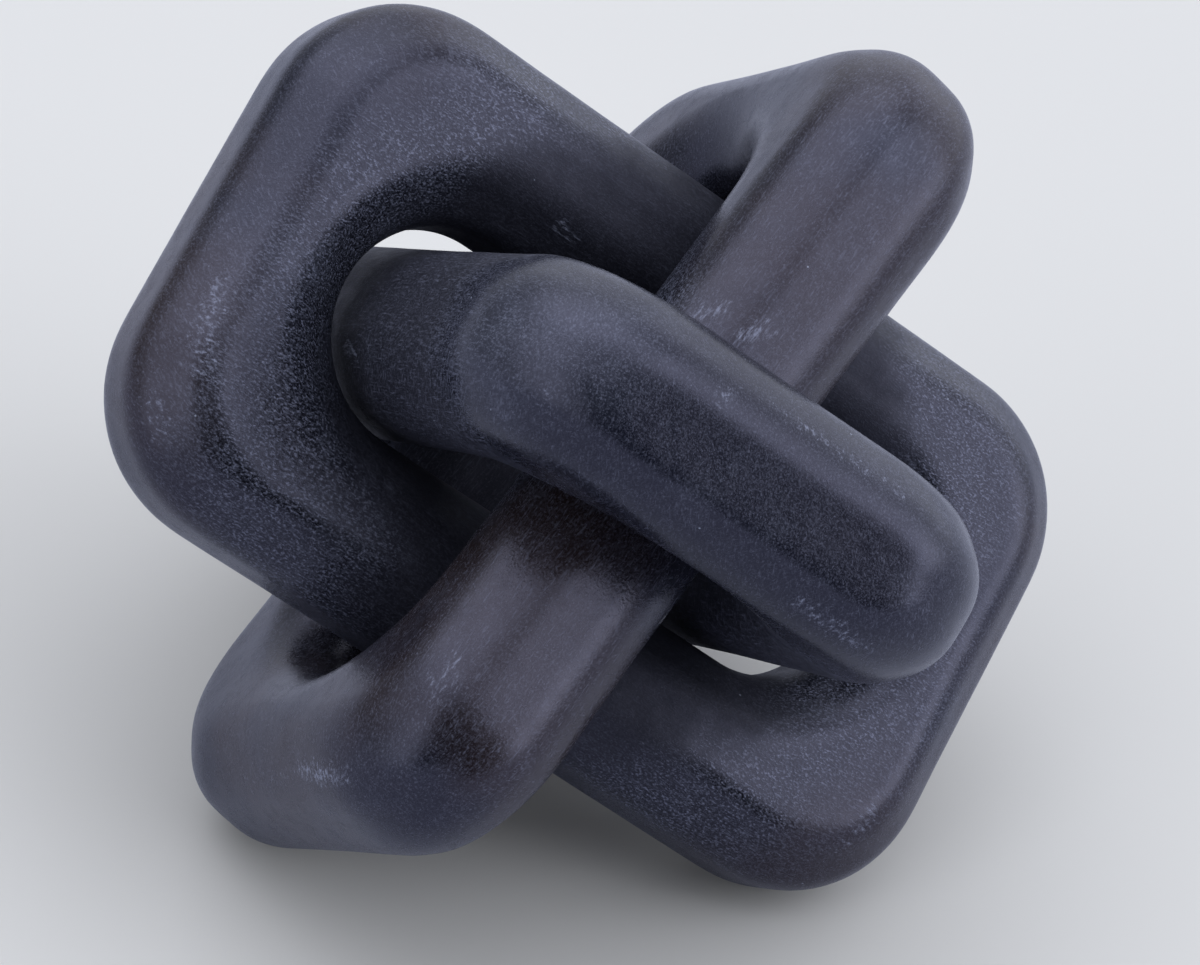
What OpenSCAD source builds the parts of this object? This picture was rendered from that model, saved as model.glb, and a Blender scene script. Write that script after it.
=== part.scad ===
// Knot of three loose stone links, each an oblong ring that passes through the next at a right angle.
// The knot stands on the outer corners of its three links, with the front link's end towards -Y.

/* [Link] */
// Thickness of the stone, from face to face
link_thickness = 25.5; // [20:0.5:32]
// Width of the two long bars, seen on the broad face
side_bar = 23.5; // [20:0.5:30]
// Width of the two end bars, seen on the broad face
end_bar = 21; // [18:0.5:28]
// Width that the bevel along every edge takes off each face, on the outside and round the hole
edge_bevel = 7; // [3:0.5:9]
// Rounding of the ridges on both sides of a bevel
ridge_radius = 6; // [2:0.5:8]

/* [Outline] */
// Rounding of the broad link's four outer corners
broad_corner = 20; // [14:0.5:26]
// Rounding of the rising link's four outer corners
rising_corner = 18; // [14:0.5:26]
// Rounding of the front link's four outer corners
front_corner = 21; // [14:0.5:26]

/* [Room in the holes] */
// Room that a link's thickness has across the hole that it passes through
thickness_play = 4; // [2:0.5:7]
// Room that a link's width has along the hole that it passes through
width_play = 8.5; // [5:0.5:14]

/* [Lean of the links] */
// Lean of the rising link in the front link's hole, where 1 would bind
rising_lean = -0.52; // [-0.7:0.01:0.7]
// Swing of the rising link in its own plane, where 1 would bind on the broad link
rising_swing = -0.4; // [-0.6:0.01:0.6]
// Lean of the front link in the broad link's hole, where 1 would bind
front_lean = 0.325; // [-0.5:0.005:0.5]

/* [Place of the links] */
// Place of the rising link along its own length, where 1 touches the broad link
rising_along = -0.05; // [-0.5:0.01:0.5]
// Place of the rising link across the broad link's thickness, where 1 touches it
rising_across = -0.3; // [-0.5:0.01:0.5]
// Place of the rising link across the front link's hole, where 1 touches its wall
rising_inside = -0.05; // [-0.5:0.01:0.5]
// Place of the front link along the broad link's hole, where 1 touches its end
front_along = -0.4; // [-0.6:0.01:0.6]
// Place of the front link across the broad link's hole, where 1 touches its wall
front_across = -0.35; // [-0.5:0.01:0.5]
// Place of the front link along its own length, where 1 touches the rising link
front_inside = 0.15; // [-0.5:0.01:0.5]

/* [Stand] */
// Turn of the standing knot about the upright
heading = 32; // [-180:1:180]

/* [Hidden] */
$fn = 96;
NODES = ["broad_link", "rising_link", "front_link"];
stone = [0.18, 0.18, 0.20];

// Each hole is the size of the link that passes through it, with its room
hole_width = link_thickness + thickness_play;
link_width = hole_width + 2 * side_bar;
hole_length = link_width + width_play;
link_length = hole_length + 2 * end_bar;

// Every face and every bevel keeps a flat strip at least this wide between its ridges
least_flat = 1;
// Run of a ridge's rounding along each side for a radius of 1, since a ridge turns through 45 degrees
lead = tan(45 / 2);
ridge = min(ridge_radius, (edge_bevel * sqrt(2) - least_flat) / 2 / lead);
ridge_run = ridge * lead;
bevel = min(edge_bevel, (min(link_thickness, side_bar, end_bar) - least_flat) / 2 - ridge_run);

// Middle of the rounding of a ridge, from the outer wall inwards and from the middle plane up
face_ridge = [-bevel - ridge_run, link_thickness / 2 - ridge];
wall_ridge = [-ridge, link_thickness / 2 - bevel - ridge_run];

// The hole's round ends turn about points this far from the link's middle
bend = (hole_length - hole_width) / 2;
// The rim round the hole runs out to the middle of the end bar's flat strip
rim_radius = hole_width / 2 + end_bar / 2;

// Angles at which a link's faces, or its edges, would bind on the ridges of the hole round it
rim_ridge = [hole_width / 2 + ridge, wall_ridge.y];
binding_lean = acos((link_thickness / 2 + ridge) / norm(rim_ridge)) - atan2(rim_ridge.y, rim_ridge.x);
binding_swing = atan(thickness_play / (link_width + 2 * face_ridge.x));

function unit(v) = v / norm(v);
function about_x(a) = [[1, 0, 0], [0, cos(a), -sin(a)], [0, sin(a), cos(a)]];
function about_z(a) = [[cos(a), -sin(a), 0], [sin(a), cos(a), 0], [0, 0, 1]];

// The links share one pattern: length, width and thickness along X, Y, Z, then Y, Z, X, then Z, X, Y
same = [[1, 0, 0], [0, 1, 0], [0, 0, 1]];
next = [[0, 0, 1], [1, 0, 0], [0, 1, 0]];

links = [0:len(NODES) - 1];
corners = [broad_corner, rising_corner, front_corner];
turns = [
    same,
    about_z(rising_lean * binding_lean) * about_x(rising_swing * binding_swing) * next,
    about_x(front_lean * binding_lean) * next * next
];

half_width_play = width_play / 2;
half_thickness_play = thickness_play / 2;
front_x = front_along * half_width_play;
rising_z = rising_across * half_thickness_play;
shifts = [
    [0, 0, 0],
    [front_x + rising_inside * half_thickness_play, rising_along * half_width_play, rising_z],
    [front_x, front_across * half_thickness_play, rising_z + front_inside * half_width_play]
];

// Furthest point of a link in direction n: on the nearer ridge, where it goes round a corner of the outline
function furthest(link, n) =
    let (
        m = n * turns[link],
        corner = corners[link],
        outward = [m.x, m.y, 0],
        near = abs(m.z) > norm(outward) ? face_ridge : wall_ridge,
        bend_point = [sign(m.x) * (link_length / 2 - corner), sign(m.y) * (link_width / 2 - corner), 0],
        ridge_point = bend_point + (corner + near.x) * unit(outward) + [0, 0, sign(m.z) * near.y],
        point = ridge_point + ridge * unit(m)
    )
    shifts[link] + turns[link] * point;

// The floor's normal: the plane through the links' lowest points, found again from each better guess
function floor_normal(n, rounds = 30) =
    let (
        feet = [for (link = links) furthest(link, n)],
        m = unit(cross(feet[1] - feet[0], feet[2] - feet[0]))
    )
    rounds < 1 ? n : floor_normal(m * n > 0 ? m : -m, rounds - 1);

up = -floor_normal(unit([1, -1, -1]));
back = unit(up.z * up - [0, 0, 1]);
stand = about_z(heading) * [cross(back, up), back, up];

// Reach of the whole knot along a direction of the standing frame
function reach(n) = max([for (link = links) furthest(link, n * stand) * (n * stand)]);
origin = [
    (reach([1, 0, 0]) - reach([-1, 0, 0])) / 2,
    (reach([0, 1, 0]) - reach([0, -1, 0])) / 2,
    -reach([0, 0, -1])
];

// Points of a ridge's rounding, from an angle on
function arc(middle, from, turn = 45, steps = 5) =
    [for (step = [0:steps])
        let (angle = from + turn * step / steps)
        middle + ridge * [cos(angle), sin(angle)]];

// Half of a bar's section: flat at x = 0, with a bevel and two soft ridges at each far edge
module half_section(width) {
    half = link_thickness / 2;
    edge = concat(arc([width, 0] + wall_ridge, 0), arc([width, 0] + face_ridge, 45));
    upper = concat(edge, [[0, half]]);
    lower = [for (i = [len(upper) - 1:-1:0]) [upper[i].x, -upper[i].y]];
    polygon(concat(lower, upper));
}

module bar_section(width) {
    half_section(width / 2);
    mirror([1, 0])
        half_section(width / 2);
}

module along_x(length) {
    rotate([90, 0, 90])
        linear_extrude(length, center = true)
            children();
}

module along_y(length) {
    rotate([90, 0, 0])
        linear_extrude(length, center = true)
            children();
}

// One end of a link: the outline's end, opened for the hole, and the rounded rim of the hole
module link_end(corner) {
    inset = link_length / 2 - corner;
    difference() {
        union() {
            translate([(bend + inset) / 2, 0, 0])
                along_x(inset - bend)
                    bar_section(link_width);
            translate([inset, 0, 0])
                along_y(link_width - 2 * corner)
                    half_section(corner);
            for (side = [0, 1])
                mirror([0, side, 0])
                    translate([inset, link_width / 2 - corner, 0])
                        rotate_extrude(angle = 90)
                            half_section(corner);
        }
        translate([bend, 0, 0])
            cylinder(r = rim_radius, h = 2 * link_thickness, center = true);
    }
    translate([bend, 0, 0])
        rotate_extrude(angle = 180, start = -90)
            translate([rim_radius, 0])
                mirror([1, 0])
                    half_section(rim_radius - hole_width / 2);
}

// A whole link, lying flat about its middle
module link_pattern(corner) {
    for (side = [-1, 1])
        translate([0, side * (hole_width + side_bar) / 2, 0])
            along_x(2 * bend)
                bar_section(side_bar);
    for (side = [0, 1])
        mirror([side, 0, 0])
            link_end(corner);
}

// Sets a link in its place in the standing knot
module in_knot(name) {
    link = search([name], NODES)[0];
    turn = stand * turns[link];
    shift = stand * shifts[link] - origin;
    multmatrix([for (row = [0:2]) concat(turn[row], shift[row])])
        color(stone)
            link_pattern(corners[link]);
}

module broad_link() {
    in_knot("broad_link");
}

module rising_link() {
    in_knot("rising_link");
}

module front_link() {
    in_knot("front_link");
}

broad_link();
rising_link();
front_link();
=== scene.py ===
"""Dresses a knot of three loose links of black marble, standing on a pale studio floor."""

import logging
import math
from dataclasses import dataclass
from enum import Enum

import bmesh
import bpy
import numpy as np
from mathutils import Matrix, Vector, noise


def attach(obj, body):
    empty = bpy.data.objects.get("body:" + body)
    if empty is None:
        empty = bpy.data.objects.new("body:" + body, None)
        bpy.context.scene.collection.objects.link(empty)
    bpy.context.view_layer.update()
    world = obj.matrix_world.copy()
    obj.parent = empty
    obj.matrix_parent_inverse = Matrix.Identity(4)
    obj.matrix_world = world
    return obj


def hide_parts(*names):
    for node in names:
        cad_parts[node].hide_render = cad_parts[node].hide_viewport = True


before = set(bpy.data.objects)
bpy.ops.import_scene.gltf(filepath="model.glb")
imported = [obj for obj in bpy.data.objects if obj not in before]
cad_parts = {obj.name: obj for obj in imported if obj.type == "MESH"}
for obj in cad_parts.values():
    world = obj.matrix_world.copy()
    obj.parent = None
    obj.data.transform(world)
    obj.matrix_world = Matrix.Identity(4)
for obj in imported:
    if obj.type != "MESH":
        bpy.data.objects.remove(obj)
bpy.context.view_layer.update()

LOG = logging.getLogger("marble_knot")
MM = 0.001
Colour = tuple[float, float, float, float]
Triple = tuple[float, float, float]
Socket = bpy.types.NodeSocket


class Role(Enum):
    """The three links, by the names of their solids."""

    BROAD = "broad_link"
    RISING = "rising_link"
    FRONT = "front_link"


class Wear(Enum):
    """What rubbing leaves on the stone, by the names of the meshes' layers."""

    CHALK = "chalked"
    HAZE = "hazed"


class Wiring:
    """Makes and joins the nodes of one node tree."""

    def __init__(self, tree: bpy.types.NodeTree) -> None:
        """Empties the tree.

        Args:
            tree: The node tree to work in.
        """
        self.tree = tree
        tree.nodes.clear()

    def add(self, kind: str, settings: dict | None = None, **inputs: object) -> bpy.types.Node:
        """Adds a node and fills its inputs.

        Args:
            kind: The node's type name, without its ShaderNode prefix.
            settings: Properties of the node itself.
            **inputs: Values, or sockets to link, by input name with _ for a space; i0, i1 go by number.

        Returns:
            The new node.
        """
        node = self.tree.nodes.new("ShaderNode" + kind)
        for name, value in (settings or {}).items():
            setattr(node, name, value)
        for name, value in inputs.items():
            number = name[1:]
            key = int(number) if name[0] == "i" and number.isdigit() else name.replace("_", " ")
            self.feed(node.inputs[key], value)
        return node

    def feed(self, socket: Socket, value: object) -> None:
        """Links a socket to another one, or sets its value.

        Args:
            socket: The input to fill.
            value: An output socket, or a plain value.
        """
        if isinstance(value, Socket):
            self.tree.links.new(value, socket)
        else:
            socket.default_value = value

    def math(self, operation: str, first: object, second: object = 0.0) -> Socket:
        """Adds a Math node and returns its output."""
        return self.add("Math", {"operation": operation}, i0=first, i1=second).outputs[0]

    def ramp(
        self, value: object, low: float, high: float, start: float = 0.0, end: float = 1.0,
    ) -> Socket:
        """Maps a value smoothly from one span to another.

        Args:
            value: The socket to map.
            low: The input that gives start.
            high: The input that gives end.
            start: The output at low.
            end: The output at high.

        Returns:
            The mapped socket.
        """
        node = self.add("MapRange", {"interpolation_type": "SMOOTHSTEP"}, Value=value)
        for name, bound in zip(("From Min", "From Max", "To Min", "To Max"), (low, high, start, end)):
            node.inputs[name].default_value = bound
        return node.outputs[0]

    def mix(self, share: object, first: object, second: object) -> Socket:
        """Mixes two colours.

        Args:
            share: How much of the second colour shows.
            first: The colour at 0.
            second: The colour at 1.

        Returns:
            The mixed colour.
        """
        node = self.add("Mix", {"data_type": "RGBA"})
        self.feed(node.inputs[0], share)
        self.feed(node.inputs[6], first)
        self.feed(node.inputs[7], second)
        return node.outputs[2]

    def grain(self, place: object, size: float, detail: float = 2.0, rough: float = 0.5) -> Socket:
        """Adds a noise pattern.

        Args:
            place: The coordinates that it reads, in metres.
            size: The width of one grain, in metres.
            detail: How many finer layers it has.
            rough: How strong the finer layers are.

        Returns:
            The noise, about 0.5 in the middle.
        """
        node = self.add("TexNoise", Vector=place, Scale=1 / size, Detail=detail, Roughness=rough)
        return node.outputs[0]


@dataclass(frozen=True)
class Working:
    """How a link was worked: coarse inside an ellipsoid round its middle, and honed outside it.

    Attributes:
        reach: The ellipsoid's half axes along the link's length, width and thickness, in metres.
        matt: The share of the ellipsoid within which the stone is matt, and within which its pale grains
            and strokes thin out as painted shade.
        filed: How strongly file strokes show on the coarse stone.
        warm: How brown the clouds in the honed stone are.
    """

    reach: Triple
    matt: float
    filed: float
    warm: float


@dataclass(frozen=True)
class BlackMarble:
    """Black marble, honed smooth on the knot's outside and left coarse from the file near its heart.

    Attributes:
        shift: The move from Object coordinates to the link's own.
        turn: The turn from Object coordinates to the link's own.
        working: How the link was worked.
        honed_blue: The honed stone.
        honed_brown: The warm clouds in it.
        coarse_dark: The coarse stone.
        coarse_light: The grains and strokes on it.
        chalk: The rubbed stone.
        fleck: The single pale crystals.
        gloss_tint: The tint of what the stone mirrors.
        refraction: The stone's index of refraction.
        crystal: The width of a grain of the stone, in metres.
        stroke: The width of a stroke of the file or the hone, in metres.
        mottle: The width of a patch of even gloss, in metres.
        smear: The width of a chalky smear, in metres.
        dust: The width of a patch of haze, in metres.
        cloud: The width of a cloud in the stone, in metres.
        bay: The width of a bay in the edge of the coarse stone, in metres.
        fleck_apart: How far the flecks lie apart, in metres.
        relief: The height of the finest unevenness, in metres.
    """

    shift: Triple
    turn: Triple
    working: Working
    honed_blue: Colour = (0.0060, 0.0068, 0.0120, 1.0)
    honed_brown: Colour = (0.0150, 0.0095, 0.0088, 1.0)
    coarse_dark: Colour = (0.0040, 0.0044, 0.0070, 1.0)
    coarse_light: Colour = (0.150, 0.160, 0.213, 1.0)
    chalk: Colour = (0.26, 0.28, 0.36, 1.0)
    fleck: Colour = (0.30, 0.33, 0.40, 1.0)
    gloss_tint: Colour = (0.79, 0.78, 1.0, 1.0)
    refraction: float = 1.5
    crystal: float = 0.27 * MM
    stroke: float = 0.30 * MM
    mottle: float = 3 * MM
    smear: float = 0.55 * MM
    dust: float = 9 * MM
    cloud: float = 34 * MM
    bay: float = 16 * MM
    fleck_apart: float = 6 * MM
    relief: float = 0.05 * MM

    def make(self, name: str) -> bpy.types.Material:
        """Builds the material's nodes.

        Args:
            name: The material's name.

        Returns:
            The finished material.
        """
        material = bpy.data.materials.new(name)
        material.use_nodes = True
        w = Wiring(material.node_tree)
        place = w.add("TexCoord").outputs["Object"]
        own = w.add("Mapping", Vector=place, Location=self.shift, Rotation=self.turn).outputs[0]

        reach = self._reach(w, own)
        coarse = w.ramp(reach, 0.88, 1.12, 1.0, 0.0)
        # Painted shade: the matt middle of the link, round its hole where the other links pass, loses most
        # of its pale grains and strokes, so it is drawn darker; it is also rougher.
        matt_and_shaded = w.ramp(reach, self.working.matt - 0.1, self.working.matt + 0.1, 1.0, 0.0)
        crystals = w.ramp(w.grain(self._drawn(w, own, 0.6), self.crystal, 2.0, 0.6), 0.45, 0.77)
        hatch = self._hatch(w, own)
        mottled = w.grain(own, self.mottle, 5.0, 0.7)

        honed = self._honed(w, place, crystals, hatch)
        filed = self._filed(w, crystals, hatch, matt_and_shaded)
        colour, chalky = self._marks(w, own, hatch, w.mix(coarse, honed, filed))
        rough = self._rough(w, mottled, hatch, matt_and_shaded, chalky)

        fine = w.math("MULTIPLY", w.math("ADD", crystals, hatch), w.ramp(coarse, 0.0, 1.0, 0.30, 0.5))
        raised = w.math("ADD", fine, w.math("MULTIPLY", mottled, 1.2))
        bump = w.add("Bump", Height=raised, Strength=0.8, Distance=self.relief).outputs[0]
        shader = w.add("BsdfPrincipled", Base_Color=colour, Roughness=rough, Normal=bump)
        shader.inputs["IOR"].default_value = self.refraction
        shader.inputs["Specular Tint"].default_value = self.gloss_tint
        w.add("OutputMaterial", Surface=shader.outputs[0])
        return material

    @staticmethod
    def _drawn(w: Wiring, own: Socket, squeeze: float) -> Socket:
        """Gives coordinates in which patterns are drawn out along the link."""
        return w.add("Mapping", Vector=own, Scale=(squeeze, 1.0, 1.0)).outputs[0]

    def _reach(self, w: Wiring, own: Socket) -> Socket:
        """Gives how far out a point lies: 1 on the wandering edge of the coarse stone, less within it.

        Args:
            w: The tree's wiring.
            own: The link's own coordinates.

        Returns:
            The point's share of the way out.
        """
        shares = tuple(1 / reach for reach in self.working.reach)
        scaled = w.add("Mapping", Vector=own, Scale=shares).outputs[0]
        out = w.add("VectorMath", {"operation": "LENGTH"}, i0=scaled).outputs["Value"]
        wander = w.math("MULTIPLY", w.math("SUBTRACT", w.grain(own, self.bay), 0.5), 0.3)
        return w.math("ADD", out, wander)

    def _hatch(self, w: Wiring, own: Socket) -> Socket:
        """Gives the fine strokes that the file and the hone left, along the link and slanting over it.

        Args:
            w: The tree's wiring.
            own: The link's own coordinates.

        Returns:
            The strokes, about 0.5 in the middle.
        """
        slanted = w.add("Mapping", Vector=own, Rotation=(0.5, 0.3, 0.9)).outputs[0]
        along = w.grain(self._drawn(w, own, 0.16), self.stroke, 3.0, 0.65)
        over = w.grain(self._drawn(w, slanted, 0.25), self.stroke, 3.0, 0.65)
        return w.math("MAXIMUM", along, over)

    def _honed(self, w: Wiring, place: Socket, crystals: Socket, hatch: Socket) -> Socket:
        """Gives the colour of the honed stone: bluish and brownish clouds under faint strokes.

        Args:
            w: The tree's wiring.
            place: Object coordinates.
            crystals: The stone's grain.
            hatch: The fine strokes.

        Returns:
            The colour.
        """
        clouds = w.ramp(w.grain(place, self.cloud, 3.0), 0.40, 0.62, 0.0, self.working.warm)
        tone = w.mix(clouds, self.honed_blue, self.honed_brown)
        share = w.math("ADD", w.math("MULTIPLY", crystals, 0.14), w.ramp(hatch, 0.52, 0.78, 0.0, 0.36))
        return w.mix(share, tone, self.coarse_light)

    def _filed(self, w: Wiring, crystals: Socket, hatch: Socket, matt_and_shaded: Socket) -> Socket:
        """Gives the colour of the coarse stone: pale grains and file strokes, thinned out in the matt
        middle as painted shade.

        Args:
            w: The tree's wiring.
            crystals: The stone's grain.
            hatch: The fine strokes.
            matt_and_shaded: The share of matt stone, where the pale marks thin out as painted shade.

        Returns:
            The colour.
        """
        # Painted shade: within the matt middle the pale grains fall to an eighth and the strokes to a
        # half, which darkens the stone round the hole.
        glints = w.math("MULTIPLY", crystals, w.ramp(matt_and_shaded, 0.0, 1.0, 1.0, 0.12))
        strokes = w.math("MULTIPLY", w.ramp(hatch, 0.50, 0.74), w.ramp(matt_and_shaded, 0.0, 1.0, 1.0, 0.5))
        pale = w.math("MAXIMUM", glints, w.math("MULTIPLY", strokes, self.working.filed))
        return w.mix(pale, self.coarse_dark, self.coarse_light)

    def _marks(self, w: Wiring, own: Socket, hatch: Socket, colour: Socket) -> tuple[Socket, Socket]:
        """Adds a chalky haze, chalky scuffs on the rubbed places and pale flecks in the stone.

        Args:
            w: The tree's wiring.
            own: The link's own coordinates.
            hatch: The fine strokes.
            colour: The colour so far.

        Returns:
            The colour with its marks, and the share of chalk.
        """
        layers = {wear: w.add("Attribute", {"attribute_name": wear.value}).outputs["Fac"] for wear in Wear}
        clouds = w.grain(own, self.dust, 5.0, 0.65)
        patches = w.math("ADD", w.ramp(clouds, 0.50, 0.75, 0.0, 0.5), layers[Wear.HAZE])
        streaks = w.math("MULTIPLY", clouds, w.ramp(hatch, 0.45, 0.75, 0.10, 0.36))
        dusted = w.math("MULTIPLY", patches, streaks)
        broken = w.grain(self._drawn(w, own, 0.3), self.smear, 5.0, 0.7)
        pressed = w.math("ADD", broken, w.math("MULTIPLY", layers[Wear.CHALK], 0.3))
        rubbed = w.ramp(pressed, 0.65, 0.90, 0.0, 0.8)
        chalky = w.math("MAXIMUM", dusted, rubbed)
        colour = w.mix(chalky, colour, self.chalk)
        dots = w.add("TexVoronoi", Vector=own, Scale=1 / self.fleck_apart).outputs["Distance"]
        flecks = w.ramp(dots, 0.012, 0.030, 0.7, 0.0)
        return w.mix(flecks, colour, self.fleck), chalky

    @staticmethod
    def _rough(w: Wiring, mottled: Socket, hatch: Socket, matt_and_shaded: Socket, chalky: Socket) -> Socket:
        """Gives the stone's roughness: satin in mottled patches, and matt in the link's middle and where
        it is chalky.

        Args:
            w: The tree's wiring.
            mottled: The patches of even gloss.
            hatch: The fine strokes.
            matt_and_shaded: The share of matt stone.
            chalky: The share of chalk.

        Returns:
            The roughness.
        """
        satin = w.ramp(mottled, 0.3, 0.7, 0.14, 0.27)
        worn = w.math("ADD", w.math("MULTIPLY", chalky, 0.20), w.ramp(hatch, 0.45, 0.75, 0.0, 0.10))
        matt = w.math("ADD", w.math("MULTIPLY", matt_and_shaded, 0.42), worn)
        return w.math("ADD", satin, matt)


@dataclass(frozen=True)
class Flat:
    """A plane in a link's own axes, down to which the stone is ground off.

    Attributes:
        point: A point of the plane, in millimetres.
        outward: The side that is ground off.
    """

    point: Triple
    outward: Triple

    def grind(self, bm: bmesh.types.BMesh) -> None:
        """Moves the points that lie beyond the plane back onto it.

        Args:
            bm: The mesh to grind.
        """
        point = Vector(self.point) * MM
        outward = Vector(self.outward).normalized()
        for vert in bm.verts:
            beyond = (vert.co - point).dot(outward)
            if beyond > 0:
                vert.co -= outward * beyond


@dataclass(frozen=True)
class Scuff:
    """A rubbed stretch on a link, between two points of its own axes.

    Attributes:
        start: The first point, in millimetres.
        end: The last point, in millimetres.
        reach: How far the rubbing spreads from the line between them, in millimetres.
        strength: How rubbed the stone is on that line.
        wear: What the rubbing left.
    """

    start: Triple
    end: Triple
    reach: float
    strength: float
    wear: Wear = Wear.CHALK

    def at(self, point: Vector) -> float:
        """Gives how rubbed a point of the link is.

        Args:
            point: A point in the link's own axes, in metres.

        Returns:
            The scuff's strength there.
        """
        start = Vector(self.start) * MM
        run = Vector(self.end) * MM - start
        share = (point - start).dot(run) / max(run.length_squared, MM * MM)
        near = start + run * min(1.0, max(0.0, share))
        return self.strength * max(0.0, 1 - (point - near).length / (self.reach * MM))


@dataclass(frozen=True)
class Pattern:
    """Sizes that the links share, and the steps that their meshes are cut in.

    Attributes:
        side_bar: The width of the long bars, in metres.
        end_bar: The width of the end bars, in metres.
        bevel: How much of each face the bevels take, in metres.
        ridge: How far the ridges are rounded, in metres.
        wave: The width of the broad unevenness, in metres.
        wave_depth: Its mean depth, in metres.
        ripple: The width of the small unevenness, in metres.
        ripple_depth: Its mean depth, in metres.
        corner_steps: The steps round an outer corner.
        end_steps: The steps along an end.
        side_steps: The steps along a side.
        ridge_steps: The steps over a ridge.
        face_cuts: The cuts across a face.
        bevel_cuts: The cuts across a bevel.
        wall_cuts: The cuts across a wall.
        strip_angle: How far a strip's faces may tilt from its plane, in degrees.
        smoothing: How often the mesh is smoothed.
        flat_bend: The bend up to which the stone counts as flat, per metre.
        ridge_bend: The bend from which it counts as a ridge, per metre.
        ridge_wear: How rubbed a ridge is without any scuff.
    """

    side_bar: float = 23.5 * MM
    end_bar: float = 21 * MM
    bevel: float = 7.0 * MM
    ridge: float = 3.3 * MM
    wave: float = 26 * MM
    wave_depth: float = 0.09 * MM
    ripple: float = 8 * MM
    ripple_depth: float = 0.04 * MM
    corner_steps: int = 14
    end_steps: int = 16
    side_steps: int = 38
    ridge_steps: int = 4
    face_cuts: int = 6
    bevel_cuts: int = 2
    wall_cuts: int = 3
    strip_angle: float = 3.4
    smoothing: int = 8
    flat_bend: float = 25.0
    ridge_bend: float = 70.0
    ridge_wear: float = 0.35


@dataclass
class Axes:
    """A link's own axes and its size along them, found from its solid.

    Attributes:
        matrix: The turn and move from the link's own coordinates to the knot's.
        length: The size along the first axis, in metres.
        width: The size along the second axis, in metres.
        thickness: The size along the third axis, in metres.
    """

    matrix: Matrix
    length: float
    width: float
    thickness: float

    @classmethod
    def of_solid(cls, solid: bpy.types.Object, length_towards: Vector, width_towards: Vector) -> "Axes":
        """Finds the main axes of a solid from the spread of its surface.

        Args:
            solid: The link's solid.
            length_towards: The side that the length points to.
            width_towards: The side that the width points to.

        Returns:
            The solid's axes, with their origin in its middle.
        """
        mesh = solid.data
        mesh.calc_loop_triangles()
        points = np.array([v.co for v in mesh.vertices])
        corners = points[np.array([t.vertices for t in mesh.loop_triangles])]
        area = np.array([t.area for t in mesh.loop_triangles])
        middles = corners.mean(1)
        centre = (middles * area[:, None]).sum(0) / area.sum()
        arms = corners - centre
        reach = middles - centre
        # A triangle's spread is that of its corners and nine times that of its middle
        spread = np.einsum("t,tki,tkj->ij", area, arms, arms)
        spread += 9 * np.einsum("t,ti,tj->ij", area, reach, reach)
        vectors = np.linalg.eigh(spread)[1]
        along = Vector(vectors[:, 2])
        across = Vector(vectors[:, 1])
        along *= math.copysign(1, along.dot(length_towards))
        across *= math.copysign(1, across.dot(width_towards))
        basis = Matrix((along, across, along.cross(across))).transposed()
        local = (points - centre) @ np.array(basis)
        size = local.max(0) - local.min(0)
        return cls(Matrix.Translation(Vector(centre)) @ basis.to_4x4(), *size)


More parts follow.
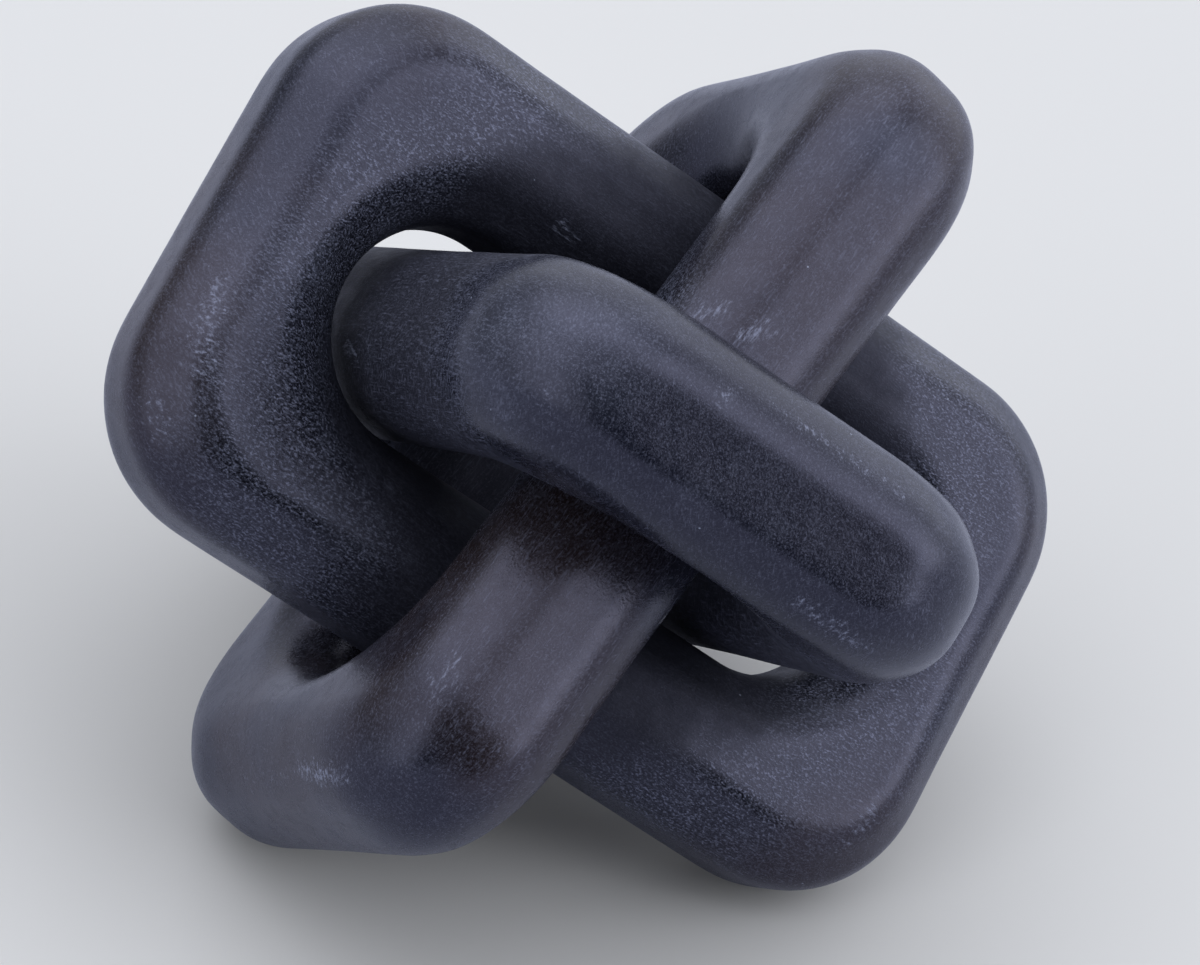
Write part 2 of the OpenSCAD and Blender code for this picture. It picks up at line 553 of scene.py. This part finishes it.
@dataclass
class Link:
    """One oblong ring of stone, with bevelled bars, soft ridges and a hole with round ends.

    Attributes:
        role: Which link it is.
        corner: The rounding of its outer corners, in metres.
        length_towards: The side that its length points to.
        width_towards: The side that its width points to.
        seed: The number that sets its unevenness apart from the others'.
        working: How it was worked.
        scuffs: Its rubbed stretches.
        flats: The planes that it is ground down to.
        pattern: Its other sizes.
    """

    role: Role
    corner: float
    length_towards: Vector
    width_towards: Vector
    seed: int
    working: Working
    scuffs: tuple[Scuff, ...] = ()
    flats: tuple[Flat, ...] = ()
    pattern: Pattern = Pattern()

    def build(self) -> bpy.types.Object:
        """Makes the link, dresses it and sets it in the place of its solid.

        Returns:
            The link's object.
        """
        name = self.role.value
        axes = Axes.of_solid(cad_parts[name], self.length_towards, self.width_towards)
        bm = bmesh.new()
        self._flat_ring(bm, axes)
        self._thicken(bm, axes)
        self._soften(bm)
        self._refine(bm)
        for flat in self.flats:
            flat.grind(bm)
        self._smooth(bm)
        self._carve(bm)
        self._scuff(bm)
        bmesh.ops.transform(bm, matrix=axes.matrix, verts=bm.verts[:])
        mesh = bpy.data.meshes.new(name + "_stone")
        bmesh.ops.recalc_face_normals(bm, faces=bm.faces[:])
        bm.to_mesh(mesh)
        bm.free()
        mesh.shade_smooth()
        stone = bpy.data.objects.new(name + "_stone", mesh)
        bpy.context.collection.objects.link(stone)
        inward = axes.matrix.inverted()
        marble = BlackMarble(tuple(inward.translation), tuple(inward.to_euler()), self.working)
        mesh.materials.append(marble.make(name + "_marble"))
        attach(stone, name)
        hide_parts(name)
        return stone

    def _flat_ring(self, bm: bmesh.types.BMesh, axes: Axes) -> None:
        """Draws the outline and the hole, and fills the flat ring between them.

        Args:
            bm: The mesh to draw in.
            axes: The link's size.
        """
        p = self.pattern
        half_length = axes.length / 2
        half_width = axes.width / 2
        signs = ((-1, -1), (1, -1), (1, 1), (-1, 1))
        corners = [bm.verts.new((x * half_length, y * half_width, 0)) for x, y in signs]
        bm.faces.new(corners)
        bmesh.ops.bevel(
            bm, geom=corners, offset=self.corner, segments=p.corner_steps,
            profile=0.5, affect="VERTICES", material=-1,
        )
        bmesh.ops.delete(bm, geom=bm.faces[:], context="FACES_ONLY")
        straight = [e for e in bm.edges if e.calc_length() > self.corner / 2]
        level = [e for e in straight if abs(e.verts[0].co.y - e.verts[1].co.y) < MM]
        upright = [e for e in straight if e not in level]
        bmesh.ops.subdivide_edges(bm, edges=level, cuts=p.side_steps - 1)
        bmesh.ops.subdivide_edges(bm, edges=upright, cuts=p.end_steps - 1)

        radius = half_width - p.side_bar
        bend = half_length - p.end_bar - radius
        half_ring = 2 * p.corner_steps + p.end_steps + 1
        turn = Matrix.Rotation(math.pi / (2 * half_ring), 4, "Z")
        hole = bmesh.ops.create_circle(bm, segments=2 * half_ring, radius=radius, matrix=turn)["verts"]
        for side in (-1, 1):
            end = [v for v in hole if v.co.x * side > 0]
            bmesh.ops.translate(bm, verts=end, vec=(side * bend, 0, 0))
        runs = [e for e in bm.edges if e.calc_length() > bend]
        bmesh.ops.subdivide_edges(bm, edges=runs, cuts=p.side_steps - 1)
        bmesh.ops.bridge_loops(bm, edges=bm.edges[:])

    def _thicken(self, bm: bmesh.types.BMesh, axes: Axes) -> None:
        """Gives the flat ring its thickness.

        Args:
            bm: The mesh with the flat ring.
            axes: The link's size.
        """
        bmesh.ops.translate(bm, verts=bm.verts[:], vec=(0, 0, -axes.thickness / 2))
        top = bmesh.ops.extrude_face_region(bm, geom=bm.faces[:])["geom"]
        raised = [v for v in top if isinstance(v, bmesh.types.BMVert)]
        bmesh.ops.translate(bm, verts=raised, vec=(0, 0, axes.thickness))
        bmesh.ops.recalc_face_normals(bm, faces=bm.faces[:])

    def _soften(self, bm: bmesh.types.BMesh) -> None:
        """Bevels the edges of the bars, then rounds the ridges that the bevels leave.

        Args:
            bm: The mesh with the square ring.
        """
        p = self.pattern
        for least, offset, steps in ((60, p.bevel, 1), (30, p.ridge, p.ridge_steps)):
            sharp = [e for e in bm.edges if e.calc_face_angle(0) > math.radians(least)]
            bmesh.ops.bevel(
                bm, geom=sharp, offset=offset, segments=steps, profile=0.5,
                affect="EDGES", material=-1, clamp_overlap=False, loop_slide=True,
            )

    def _refine(self, bm: bmesh.types.BMesh) -> None:
        """Cuts the mesh into small even faces.

        Args:
            bm: The mesh with its soft edges.
        """
        p = self.pattern
        bm.normal_update()
        for tilt, cuts in ((0, p.face_cuts), (45, p.bevel_cuts), (90, p.wall_cuts)):
            strip = {f for f in bm.faces if abs(self._tilt(f) - tilt) < p.strip_angle}
            rungs = [e for e in bm.edges if strip.issuperset(e.link_faces)]
            bmesh.ops.subdivide_edges(bm, edges=rungs, cuts=cuts, use_grid_fill=True)
        bmesh.ops.subdivide_edges(bm, edges=bm.edges[:], cuts=1, use_grid_fill=True)

    def _smooth(self, bm: bmesh.types.BMesh) -> None:
        """Smooths the fine mesh.

        Args:
            bm: The fine mesh.
        """
        for _ in range(self.pattern.smoothing):
            bmesh.ops.smooth_vert(
                bm, verts=bm.verts[:], factor=0.5, use_axis_x=True, use_axis_y=True, use_axis_z=True,
            )
        bm.normal_update()

    @staticmethod
    def _tilt(face: bmesh.types.BMFace) -> float:
        """Gives the angle between a face and the link's plane, in degrees."""
        return math.degrees(math.acos(min(1.0, abs(face.normal.z))))

    def _carve(self, bm: bmesh.types.BMesh) -> None:
        """Takes off a little stone unevenly, as handwork leaves it.

        Args:
            bm: The fine mesh.
        """
        p = self.pattern
        shift = Vector((self.seed * 3.7, self.seed * 1.9, self.seed * 5.3))
        moves = []
        for vert in bm.verts:
            broad = noise.noise(vert.co / p.wave + shift)
            near = noise.noise(vert.co / p.ripple - shift)
            depth = p.wave_depth * (1 + broad) + p.ripple_depth * (1 + near)
            moves.append(vert.normal * -depth)
        for vert, move in zip(bm.verts, moves):
            vert.co += move
        bm.normal_update()

    def _scuff(self, bm: bmesh.types.BMesh) -> None:
        """Marks how rubbed each point is: at the link's scuffs, and a little on every ridge.

        Args:
            bm: The carved mesh.
        """
        for wear in Wear:
            layer = bm.verts.layers.float.new(wear.value)
            marks = [mark for mark in self.scuffs if mark.wear is wear]
            for vert in bm.verts:
                ridge = self.pattern.ridge_wear * self._ridge(vert)
                vert[layer] = max([ridge] + [mark.at(vert.co) for mark in marks])

    def _ridge(self, vert: bmesh.types.BMVert) -> float:
        """Gives how far a point lies on a ridge.

        Args:
            vert: A point of the carved mesh.

        Returns:
            1 on a ridge of the stone and 0 on its flat parts.
        """
        p = self.pattern
        near = [e.other_vert(vert).co for e in vert.link_edges]
        middle = sum(near, Vector()) / len(near)
        step = sum(e.calc_length() for e in vert.link_edges) / len(near)
        bend = (vert.co - middle).dot(vert.normal) / (step * step)
        return min(1.0, max(0.0, (bend - p.flat_bend) / (p.ridge_bend - p.flat_bend)))


@dataclass(frozen=True)
class PaleFloor:
    """A plain pale studio floor, which bounces a little less light than it shows.

    Attributes:
        colour: The floor's colour.
        bounced: The colour with which it lights the knot.
        radius: Its radius, in metres.
        patch: The width of a patch of even roughness, in metres.
    """

    colour: Colour = (0.60, 0.585, 0.54, 1.0)
    bounced: Colour = (0.45, 0.46, 0.52, 1.0)
    radius: float = 3.0
    patch: float = 120 * MM

    def build(self) -> bpy.types.Object:
        """Makes the floor and stages it.

        Returns:
            The floor's object.
        """
        bm = bmesh.new()
        bmesh.ops.create_circle(bm, cap_ends=True, segments=96, radius=self.radius)
        mesh = bpy.data.meshes.new("studio_floor")
        bm.to_mesh(mesh)
        bm.free()
        floor = bpy.data.objects.new("studio_floor", mesh)
        bpy.context.collection.objects.link(floor)
        material = bpy.data.materials.new("pale_floor")
        material.use_nodes = True
        w = Wiring(material.node_tree)
        place = w.add("TexCoord").outputs["Object"]
        rough = w.ramp(w.grain(place, self.patch, 3.0), 0.3, 0.7, 0.75, 0.9)
        seen = w.add("LightPath").outputs["Is Camera Ray"]
        tone = w.mix(seen, self.bounced, self.colour)
        shader = w.add("BsdfPrincipled", Base_Color=tone, Roughness=rough)
        w.add("OutputMaterial", Surface=shader.outputs[0])
        mesh.materials.append(material)
        return floor


@dataclass(frozen=True)
class Glow:
    """A soft patch of the tent's cloth that is brighter or darker than the rest.

    Attributes:
        name: Where it is, seen from the front.
        azimuth: The angle of its middle from +Y towards +X, in degrees.
        elevation: The angle of its middle above the floor, in degrees.
        inner: The radius of its even part, in degrees.
        outer: The radius at which it ends, in degrees.
        strength: The light that it adds or takes away.
    """

    name: str
    azimuth: float
    elevation: float
    inner: float
    outer: float
    strength: float


@dataclass(frozen=True)
class Tent:
    """The pale cloth of the light tent round the knot, with its soft patches.

    Attributes:
        cloth: The colour of its light.
        backdrop: The colour that shows behind the floor.
        strength: The light of the plain cloth.
        glows: The soft patches.
    """

    cloth: Colour = (0.84, 0.88, 1.0, 1.0)
    backdrop: Colour = (0.93, 0.93, 0.94, 1.0)
    strength: float = 0.72
    glows: tuple[Glow, ...] = ()

    def build(self) -> None:
        """Builds the world's nodes."""
        world = bpy.data.worlds.new("light_tent")
        bpy.context.scene.world = world
        world.use_nodes = True
        w = Wiring(world.node_tree)
        look = w.add("TexCoord").outputs["Generated"]
        power = self.strength
        for glow in self.glows:
            power = w.math("ADD", power, self._patch(w, look, glow))
        lit = w.add("Background", Color=self.cloth, Strength=w.math("MAXIMUM", power, 0.0))
        shown = w.add("Background", Color=self.backdrop, Strength=1.0)
        seen = w.add("LightPath").outputs["Is Camera Ray"]
        both = w.add("MixShader", i0=seen, i1=lit.outputs[0], i2=shown.outputs[0])
        w.add("OutputWorld", Surface=both.outputs[0])

    def _patch(self, w: Wiring, look: Socket, glow: Glow) -> Socket:
        """Gives the light that one patch adds in a direction.

        Args:
            w: The tree's wiring.
            look: The direction.
            glow: The patch.

        Returns:
            The added strength.
        """
        towards = tuple(direction(glow.azimuth, glow.elevation))
        settings = {"operation": "DOT_PRODUCT", "label": glow.name}
        near = w.add("VectorMath", settings, i0=look, i1=towards).outputs["Value"]
        inner = math.cos(math.radians(glow.inner))
        outer = math.cos(math.radians(glow.outer))
        return w.ramp(near, outer, inner, 0.0, glow.strength)


@dataclass(frozen=True)
class Camera:
    """The camera, at the angle from which the knot is seen.

    Attributes:
        azimuth: The angle that it looks along, from +Y towards +X, in degrees.
        elevation: Its angle above the floor, in degrees.
        roll: Its turn about the line of sight, in degrees.
        distance: Its distance from the target, in metres.
        lens: Its focal length, in millimetres.
        sensor: The width of its sensor, in millimetres.
        target: The point that it looks at, in metres.
    """

    azimuth: float = 0.60
    elevation: float = 37.44
    roll: float = 10.34
    distance: float = 0.63618
    lens: float = 145.21
    sensor: float = 36.0
    target: Triple = (0.00159, -0.00238, 0.04941)

    def build(self) -> bpy.types.Object:
        """Makes the camera and gives it to the scene.

        Returns:
            The camera's object.
        """
        data = bpy.data.cameras.new("camera")
        data.lens = self.lens
        data.sensor_width = self.sensor
        data.sensor_fit = "HORIZONTAL"
        data.clip_start = 0.01
        data.clip_end = 20.0
        camera = bpy.data.objects.new("camera", data)
        bpy.context.collection.objects.link(camera)
        back = direction(180 + self.azimuth, self.elevation)
        aim = (-back).to_track_quat("-Z", "Y").to_matrix().to_4x4()
        tilt = Matrix.Rotation(math.radians(self.roll), 4, "Z")
        camera.matrix_world = Matrix.Translation(Vector(self.target) + back * self.distance) @ aim @ tilt
        bpy.context.scene.camera = camera
        return camera


def direction(azimuth: float, elevation: float) -> Vector:
    """Gives the unit vector at an angle from +Y towards +X and an angle above the floor.

    Args:
        azimuth: The angle from +Y, in degrees.
        elevation: The angle above the floor, in degrees.

    Returns:
        The unit vector.
    """
    turn = math.radians(azimuth)
    rise = math.radians(elevation)
    return Vector((math.sin(turn) * math.cos(rise), math.cos(turn) * math.cos(rise), math.sin(rise)))


LINKS = (
    Link(
        Role.BROAD, 20 * MM, Vector((1, 0, 0)), Vector((0, 0, 1)), seed=1,
        working=Working((57 * MM, 57 * MM, 57 * MM), 0.74, 0.3, 1.0),
        pattern=Pattern(ridge=2.6 * MM, smoothing=5),
        scuffs=(
            Scuff((-59.4, -12, 10.9), (-55.7, -22, 12.4), 5, 0.75),
            Scuff((-58, -5, 10.9), (-54, -27, 12), 12, 0.6, Wear.HAZE),
            Scuff((-58.6, -28, 8.7), (-55.3, -31, 9.8), 4, 0.7),
            Scuff((50.0, 6, 12.8), (53.0, 23, 12.8), 2, 0.5),
            Scuff((53.6, -22, 12.5), (54.5, -28, 12.4), 4, 0.65),
            Scuff((-23.2, 19.8, 11.5), (-20.5, 19.0, 11.0), 2, 1.0),
        ),
    ),
    Link(
        Role.RISING, 18 * MM, Vector((0, 0, 1)), Vector((0, 0, 1)), seed=2,
        working=Working((36 * MM, 36 * MM, 36 * MM), 0.80, 0.6, 1.0),
        scuffs=(
            Scuff((-61.6, 25, -8.1), (-61.5, 13, -8.8), 3, 0.95),
            Scuff((45.9, 37.7, -6), (56, 30, -6), 14, 0.6, Wear.HAZE),
            Scuff((-41.2, -12.6, -10.6), (-58.7, -1.1, -11.3), 10, 0.5, Wear.HAZE),
            Scuff((-61.5, 13, -8.8), (-62.7, -7, -6.9), 2.5, 0.6),
            Scuff((14.5, 36.2, -8.8), (11.5, 34.5, -10.5), 2.5, 0.95),
            Scuff((15.1, 38.3, -2.8), (12.0, 38.2, -4.5), 2.5, 0.9),
            Scuff((-48.7, 36, -8.7), (-44, 36, -8.7), 4, 0.6),
        ),
    ),
    Link(
        Role.FRONT, 21 * MM, Vector((0, 0, 1)), Vector((1, 0, 0)), seed=3,
        working=Working((46 * MM, 90 * MM, 90 * MM), 0.94, 0.9, 0.1),
        flats=(Flat((63.5, 0, 5), (1, 0, -0.123)),),
        scuffs=(
            Scuff((61.8, -4.3, 8.4), (61.9, 15.6, 8.2), 2, 0.95),
            Scuff((52, -36, -1.7), (59.9, -29, 3), 13, 1.3, Wear.HAZE),
            Scuff((59, 25.3, 9.6), (60, 10, 9.6), 7, 0.6, Wear.HAZE),
            Scuff((63.4, -12.2, 4.5), (62.5, -10.3, 7.3), 2, 0.8),
            Scuff((58.7, 22.3, -10.8), (59.5, 12, -10.5), 3, 0.8),
            Scuff((9.1, -36.9, -7.9), (6, -37.3, -6.5), 2.5, 1.1),
            Scuff((58.8, -28.7, -7.3), (58, -30, -6), 3, 0.6),
        ),
    ),
)
GLOWS = (
    Glow("right", 104, 30, 14, 36, 1.52),
    Glow("low_right", 100, 3, 8, 32, 1.15),
    Glow("high_right", 130, 65, 8, 34, 0.87),
    Glow("left", -95, 52, 12, 45, 0.61),
    Glow("front_left", -140, 20, 8, 32, 0.85),
    Glow("top", -50, 72, 10, 42, 1.32),
    Glow("back", 10, 35, 10, 40, 0.46),
    Glow("back_right", 50, 20, 8, 36, 0.53),
    Glow("corner", -70, 10, 10, 42, -0.40),
    Glow("opening", 168, 18, 26, 48, -0.72),
    Glow("visor", 180, 55, 8, 32, -0.27),
)


def main() -> None:
    """Builds the knot and its studio, and reports each piece."""
    logging.basicConfig(level=logging.INFO, format="%(message)s")
    bpy.context.scene.view_settings.view_transform = "Standard"
    camera = Camera().build()
    LOG.info("%s: lens of %.0f mm", camera.name, camera.data.lens)
    for link in LINKS:
        stone = link.build()
        LOG.info("%s: %d faces", stone.name, len(stone.data.polygons))
    floor = PaleFloor().build()
    LOG.info("%s: %d faces", floor.name, len(floor.data.polygons))
    Tent(glows=GLOWS).build()


if __name__ == "__main__":
    main()
